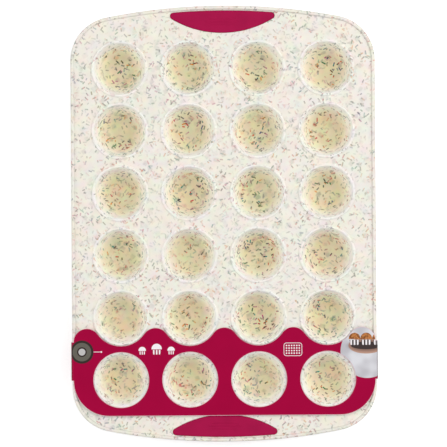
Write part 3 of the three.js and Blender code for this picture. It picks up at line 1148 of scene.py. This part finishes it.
def muffin_row(x, y, prints):
    """The mask of three plain muffins in a row, the middle one larger."""
    row = None
    for step in (-1, 0, 1):
        half_width = prints.muffin_half * (1 - MUFFIN_TAPER_SHARE * abs(step))
        foot = prints.muffin_half - half_width
        dome, cup, pleats = cake(x - step * prints.muffin_pitch, y + foot, half_width, prints.softness)
        muffin = dome.most(cup * pleats)
        row = muffin if row is None else row.most(muffin)
    return row


def pan_outline(x, y, tray, prints):
    """The mask of a small pan lying on its side: a round-cornered outline with a dot for each cup."""
    pitch = prints.pan_pitch
    half_width = pitch * tray.rows / 2
    half_height = pitch * tray.columns / 2
    edge = block(x, y, half_width + pitch / 2, half_height + pitch / 2, pitch)
    outline = inked(abs(edge) - prints.line, prints.softness)
    cell_x = (x * (1 / pitch)).fraction() - 0.5
    cell_y = (y * (1 / pitch)).fraction() - 0.5
    dots = inked((length_of(cell_x, cell_y) - DOT_SHARE) * pitch, prints.softness)
    field = inked(block(x, y, half_width, half_height), prints.softness)
    return outline.most(dots * field)


def rim_section(shade, x, y, outside, prints):
    """Adds a plain picture of a wire inside a round rim, with a short pointer beside it."""
    radius = prints.section_radius
    away = length_of(x, y)
    tones = (prints.dark, prints.grey, prints.dark, prints.steel)
    for part, tone in zip(SECTION_SHARES, tones):
        shade = mix(inked(away - radius * part, prints.softness) * outside, shade, tone)
    shaft = block(x - (radius + prints.pointer / 2), y, prints.pointer / 2, prints.line)
    knob = length_of(x - (radius + prints.pointer), y) - prints.line * KNOB_LINES
    return mix(inked(shaft.least(knob), prints.softness) * outside, shade, prints.white)


def plate_picture(place, x, y, prints):
    """The colours of the round picture: three muffins on a dark plate on a round board."""
    soft = prints.softness
    haze = noise(place, prints.haze, detail=1).ramp(*PAPER_LEVELS)
    paper = mix(haze, prints.paper, prints.paper_shade)
    low = y + prints.cake_half * PLATE_DROP_SHARE
    board_half = prints.plate_half * BOARD_SHARE
    board = inked(oval(x, low, board_half, BOARD_FLATNESS), soft)
    paper = mix(board, paper, prints.wood)
    blur = prints.plate_half * SHADOW_BLUR_SHARE
    shadow = inked(oval(x, low, board_half, SHADOW_FLATNESS), blur)
    paper = mix(shadow * SHADOW_STRENGTH, paper, prints.plate_colour)
    plate = inked(oval(x, low, prints.plate_half, PLATE_FLATNESS), soft)
    paper = mix(plate, paper, prints.plate_colour)
    crumbs = noise(place, prints.crumb, detail=3).ramp(*CRUMB_LEVELS)
    crust = mix(crumbs, prints.crust, prints.crust_dark)
    for step in (-1, 0, 1):
        dome, cup, pleats = cake(x - step * prints.cake_pitch, y, prints.cake_half, soft)
        paper = mix(dome, paper, crust)
        paper = mix(cup, paper, mix(pleats, prints.plate_colour, prints.white))
    return paper


def printed_card(tray, card, prints):
    """Coated card, printed dark pink, with plain pictures of muffins, a pan and a wire in a rim, and a painted
    shade where it turns down at the folds.
    """
    material, tree, shader = blank("printed_card", Specular_IOR_Level=0.1)
    place = on_object(tree)
    x, y, z = place.parts()
    drop = z * -1 + sleeve_high.z
    unrolled = x + x.maths("SIGN") * drop
    outside = drop.ramp(tray.depth, tray.depth - prints.softness)
    patches = noise(place, card.patch, detail=3).ramp(*PRINT_LEVELS)
    shade = mix(patches, card.ink, darker(card.ink, card.patch_shade))
    section_x = unrolled - prints.section[0]
    section_y = y - prints.section[1]
    shade = rim_section(shade, section_x, section_y, outside, prints)
    muffins = muffin_row(x - prints.muffins[0], y - prints.muffins[1], prints)
    pan = pan_outline(x - prints.pan[0], y - prints.pan[1], tray, prints)
    shade = mix(muffins.most(pan) * outside, shade, prints.white)
    from_badge = length_of(unrolled - prints.badge[0], y - prints.badge[1]) - prints.badge_radius
    picture = plate_picture(place, unrolled - prints.plate[0], y - prints.plate[1], prints)
    shade = Arrow(mix(inked(from_badge, prints.softness) * outside, shade, picture))
    # Painted shade on the folds, where the card's face turns from level
    painted_fold_shade_mask = abs(on_object(tree, "Normal").parts()[0]).ramp(*TURNED_LEVELS)
    feed(shade.times(painted_fold_shade_mask.between(1, 1 - card.fold_painted_shade)), shader.inputs["Base Color"])
    grain = noise(place, card.grain, detail=4)
    vary_roughness(shader, grain, *PRINT_ROUGHNESS)
    raise_surface(tree, shader, grain, card.relief)
    return material


# Stage


def lay_floor(scene, stage):
    mesh = bpy.data.meshes.new("floor")
    bm = bmesh.new()
    bmesh.ops.create_grid(bm, x_segments=1, y_segments=1, size=stage.floor_size)
    bmesh.ops.translate(bm, verts=bm.verts, vec=(0, 0, -FLOOR_GAP))
    bm.to_mesh(mesh)
    bm.free()
    floor = bpy.data.objects.new("floor", mesh)
    scene.collection.objects.link(floor)
    mesh.materials.append(floor_paint(stage))


def hang_camera(scene, stage, deck):
    """A camera that looks straight down at the deck."""
    view = bpy.data.cameras.new("camera")
    view.lens = view.sensor_width * stage.distance / stage.picture_width
    view.clip_end = stage.floor_size * 2
    camera = bpy.data.objects.new("camera", view)
    camera.location = (*stage.aim, deck + stage.distance)
    camera.rotation_euler = (0, 0, stage.roll)
    scene.collection.objects.link(camera)
    scene.camera = camera


def soft_box(scene, name, stage, watts, height, direction):
    """A wide lamp that faces the pan from a height above the horizon and a direction in plan."""
    lamp = bpy.data.lights.new(name, "AREA")
    lamp.energy = watts
    lamp.size = stage.lamp_size
    made = bpy.data.objects.new(name, lamp)
    flat = math.cos(height)
    way = Vector((flat * math.cos(direction), flat * math.sin(direction), math.sin(height)))
    made.location = way * stage.lamp_distance
    made.rotation_euler = way.to_track_quat("Z", "Y").to_euler()
    scene.collection.objects.link(made)


def floor_paint(stage):
    """White floor. It looks a little brighter in the picture than the light alone makes it."""
    material, tree, shader = blank("floor_paint", Base_Color=stage.floor, Roughness=0.9)
    path = tree.nodes.new("ShaderNodeLightPath").outputs
    seen = Number(path["Is Camera Ray"]).most(path["Is Glossy Ray"]).most(path["Is Transmission Ray"])
    feed(WHITE, shader.inputs["Emission Color"])
    feed(seen * stage.floor_lift, shader.inputs["Emission Strength"])
    return material


def surroundings(stage):
    """Even light from all round. It looks white, but for the ceiling that a gloss shows straight overhead."""
    world = bpy.data.worlds.new("surroundings")
    world.use_nodes = True
    tree = world.node_tree
    light = tree.nodes["Background"]
    path = tree.nodes.new("ShaderNodeLightPath").outputs
    glossy = Number(path["Is Glossy Ray"])
    seen = glossy.most(path["Is Camera Ray"]).most(path["Is Transmission Ray"])
    upward = on_object(tree, "Generated").parts()[2]
    overhead = upward.ramp(math.cos(stage.ceiling_reach), 1)
    level = seen.between(stage.fill, 1) - glossy * overhead * (1 - stage.ceiling)
    feed(WHITE, light.inputs["Color"])
    feed(level, light.inputs["Strength"])
    return world


# Operators


class MUFFIN_OT_tray(bpy.types.Operator):
    """Make the silicone tray with its cups, deck, rim and flanges"""

    bl_idname = "muffin.tray"
    bl_label = "Make Silicone Tray"

    def execute(self, context):
        scene = context.scene
        finish = speckled_silicone(scene.muffin_tray, scene.muffin_fibres)
        bm = tray_mesh(scene.muffin_tray, scene.muffin_grips)
        piece(bm, "tray", "pan", ["silicone_tray"], [finish])
        return {"FINISHED"}


class MUFFIN_OT_wire(bpy.types.Operator):
    """Finish the steel wire inside the rim"""

    bl_idname = "muffin.wire"
    bl_label = "Finish Rim Wire"

    def execute(self, context):
        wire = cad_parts["steel_rim_frame"]
        wire.data.materials.clear()
        wire.data.materials.append(drawn_steel(context.scene.muffin_wire))
        return {"FINISHED"}


class MUFFIN_OT_grips(bpy.types.Operator):
    """Make the grip insert at each end"""

    bl_idname = "muffin.grips"
    bl_label = "Make Grip Inserts"

    def execute(self, context):
        scene = context.scene
        finish = grip_silicone(scene.muffin_grips)
        for name, place in zip(("grip_rear", "grip_front"), BOTH_ENDS):
            bm = grip_mesh(scene.muffin_tray, scene.muffin_grips)
            bmesh.ops.transform(bm, matrix=place, verts=bm.verts)
            node = name.replace("grip", "grip_insert")
            piece(bm, name, "pan", [node], [finish])
        return {"FINISHED"}


class MUFFIN_OT_sleeve(bpy.types.Operator):
    """Make the printed card sleeve"""

    bl_idname = "muffin.sleeve"
    bl_label = "Make Card Sleeve"

    def execute(self, context):
        scene = context.scene
        tray = scene.muffin_tray
        card = scene.muffin_card
        board = board_finish("bare_board", card.board, card)
        edge = board_finish("cut_board", card.edge, card)
        finishes = [printed_card(tray, card, scene.muffin_prints), board, edge, board, edge]
        bm = card_mesh(tray, card)
        sleeve = piece(bm, "sleeve_card", "sleeve", ["card_sleeve"], finishes)
        # The inner side takes the material after a face's own, and a cut edge the one two places on.
        wall = sleeve.modifiers.new("Card thickness", "SOLIDIFY")
        wall.thickness = card.thickness
        wall.offset = -1
        wall.use_even_offset = True
        wall.material_offset = 1
        wall.material_offset_rim = CUT_EDGE
        return {"FINISHED"}


class MUFFIN_OT_stage(bpy.types.Operator):
    """Set up the floor, light and camera"""

    bl_idname = "muffin.stage"
    bl_label = "Set Up Stage"

    def execute(self, context):
        stage = context.scene.muffin_stage
        scene = context.scene
        scene.view_settings.view_transform = "Standard"
        lay_floor(scene, stage)
        soft_box(scene, "key", stage, stage.key, stage.key_height, stage.key_turn)
        soft_box(scene, "side", stage, stage.side, stage.side_height, stage.side_turn)
        scene.world = surroundings(stage)
        hang_camera(scene, stage, tray_levels(scene.muffin_tray).deck)
        return {"FINISHED"}


class MUFFIN_PT_sidebar(bpy.types.Panel):
    """Lists the makers of the pan's pieces"""

    bl_idname = "MUFFIN_PT_sidebar"
    bl_label = "Mini Muffin Pan"
    bl_space_type = "VIEW_3D"
    bl_region_type = "UI"
    bl_category = "Muffin Pan"

    def draw(self, context):
        for operator in OPERATORS:
            self.layout.operator(operator.bl_idname)
        for name in GROUPS:
            box = self.layout.box()
            box.label(text=name.replace("_", " ").capitalize())
            group = getattr(context.scene, name)
            for label in group.__annotations__:
                box.prop(group, label)


OPERATORS = (MUFFIN_OT_tray, MUFFIN_OT_wire, MUFFIN_OT_grips, MUFFIN_OT_sleeve, MUFFIN_OT_stage)
GROUPS = {
    "muffin_tray": TraySettings,
    "muffin_fibres": FibreSettings,
    "muffin_grips": GripSettings,
    "muffin_wire": WireSettings,
    "muffin_card": CardSettings,
    "muffin_prints": PrintSettings,
    "muffin_stage": StageSettings,
}


def register():
    for made in (*GROUPS.values(), *OPERATORS, MUFFIN_PT_sidebar):
        bpy.utils.register_class(made)
    for name, group in GROUPS.items():
        setattr(bpy.types.Scene, name, bpy.props.PointerProperty(type=group))


def unregister():
    for name in GROUPS:
        delattr(bpy.types.Scene, name)
    for made in (MUFFIN_PT_sidebar, *reversed(OPERATORS), *GROUPS.values()):
        bpy.utils.unregister_class(made)


def main():
    register()
    bpy.ops.muffin.tray()
    bpy.ops.muffin.wire()
    bpy.ops.muffin.grips()
    bpy.ops.muffin.sleeve()
    bpy.ops.muffin.stage()
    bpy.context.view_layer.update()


if __name__ == "__main__":
    main()
